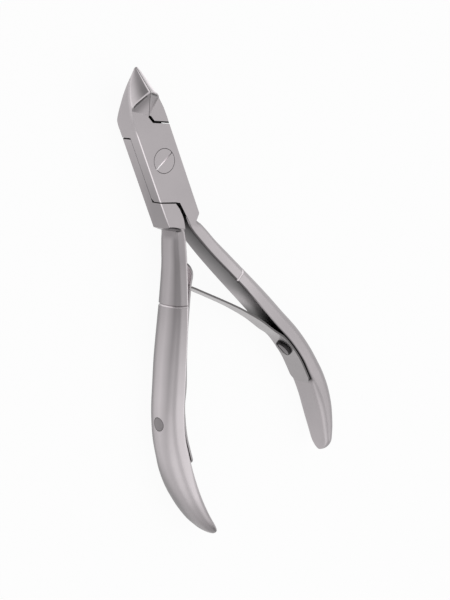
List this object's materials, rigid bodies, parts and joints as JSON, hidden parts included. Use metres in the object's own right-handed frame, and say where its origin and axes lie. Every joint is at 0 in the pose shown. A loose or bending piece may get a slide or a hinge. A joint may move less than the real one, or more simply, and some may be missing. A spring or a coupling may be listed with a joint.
{
  "type": "cuticle nipper",
  "caption": "Cuticle nipper with crossed forged arms in a screwed lap joint, hollow-ground pointed jaws and interlocked leaf springs between bowed handles.",
  "frame": {"origin": "on the pivot axis, at the flat back of the joint, where the pivot screw's end is flush", "axes": "+Y towards the jaw tips, +Z out of the front with the screw head, +X towards the handle that is on the right when seen from the front"},
  "size_m": [0.0524, 0.1163, 0.0125],
  "materials": {
    "satin_steel": "satin, fine even grain",
    "spring_steel": "satin, rolled strip",
    "screw_steel": "satin, turned"
  },
  "bodies": {
    "rear": {"rear_arm": "satin_steel", "pivot_screw": "screw_steel", "left_leaf_spring": "spring_steel", "left_spring_screw": "screw_steel"},
    "front": {"front_arm": "satin_steel", "right_leaf_spring": "spring_steel", "right_spring_screw": "screw_steel"}
  },
  "joints": [
    {"name": "jaw_pivot", "type": "hinge", "parent": "rear", "child": "front", "pos_m": [0, 0, 0], "axis": [0, 0, 1], "range_deg": [0, 10], "stiffness_Nm_per_rad": 0.4, "springref_deg": 10, "deforming": ["left_leaf_spring", "right_leaf_spring"]}
  ]
}
